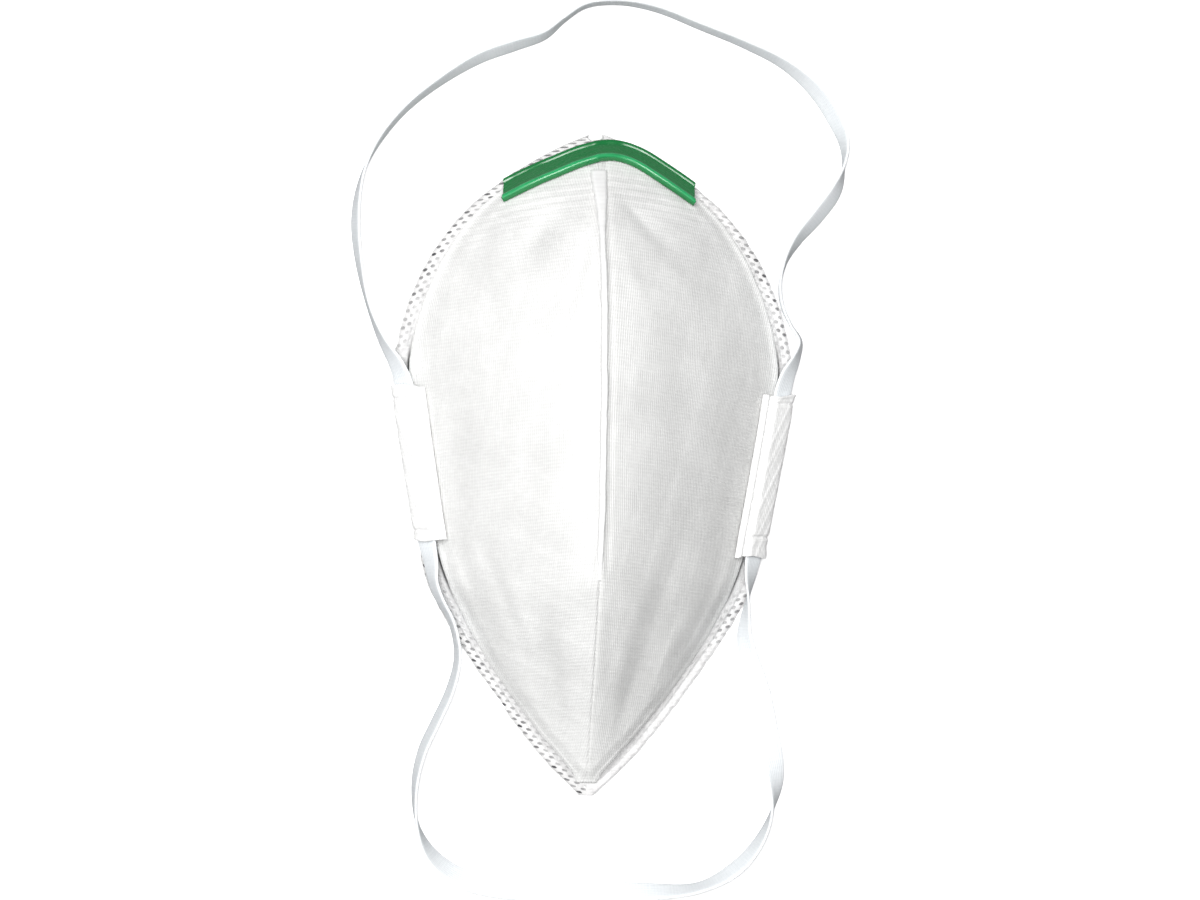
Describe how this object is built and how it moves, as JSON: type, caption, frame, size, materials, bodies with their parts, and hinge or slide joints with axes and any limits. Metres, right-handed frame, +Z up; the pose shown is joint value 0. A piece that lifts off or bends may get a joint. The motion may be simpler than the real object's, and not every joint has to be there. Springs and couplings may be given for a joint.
{
  "type": "filtering half mask",
  "caption": "Vertical-fold filtering half mask: white cover over a dotted fleece, bent nose clip, cheek sleeves and flat elastic head straps in open loops.",
  "frame": {"origin": "on the resting surface under the middle of the mask, which lies on its face opening", "axes": "+Z up, from the face opening to the centre seam; +Y towards the nose clip; +X to the mask's right as seen from above"},
  "size_m": [0.1341, 0.2435, 0.0622],
  "materials": {
    "liner": "embossed needled fleece with small grey dots",
    "cover": "matt white nonwoven with a fine ribbed grain",
    "sleeve": "matt white nonwoven, welded across both ends",
    "clip": "glossy moulded plastic",
    "strap": "smooth knitted white elastic"
  },
  "bodies": {
    "root": {"liner_left": "liner", "liner_right": "liner", "cover_left": "cover", "cover_right": "cover", "sleeve_left": "sleeve", "sleeve_right": "sleeve", "centre_seam": "cover", "seam_end": "cover", "nose_clip": "clip", "upper_strap": "strap", "lower_strap": "strap"}
  },
  "joints": []
}
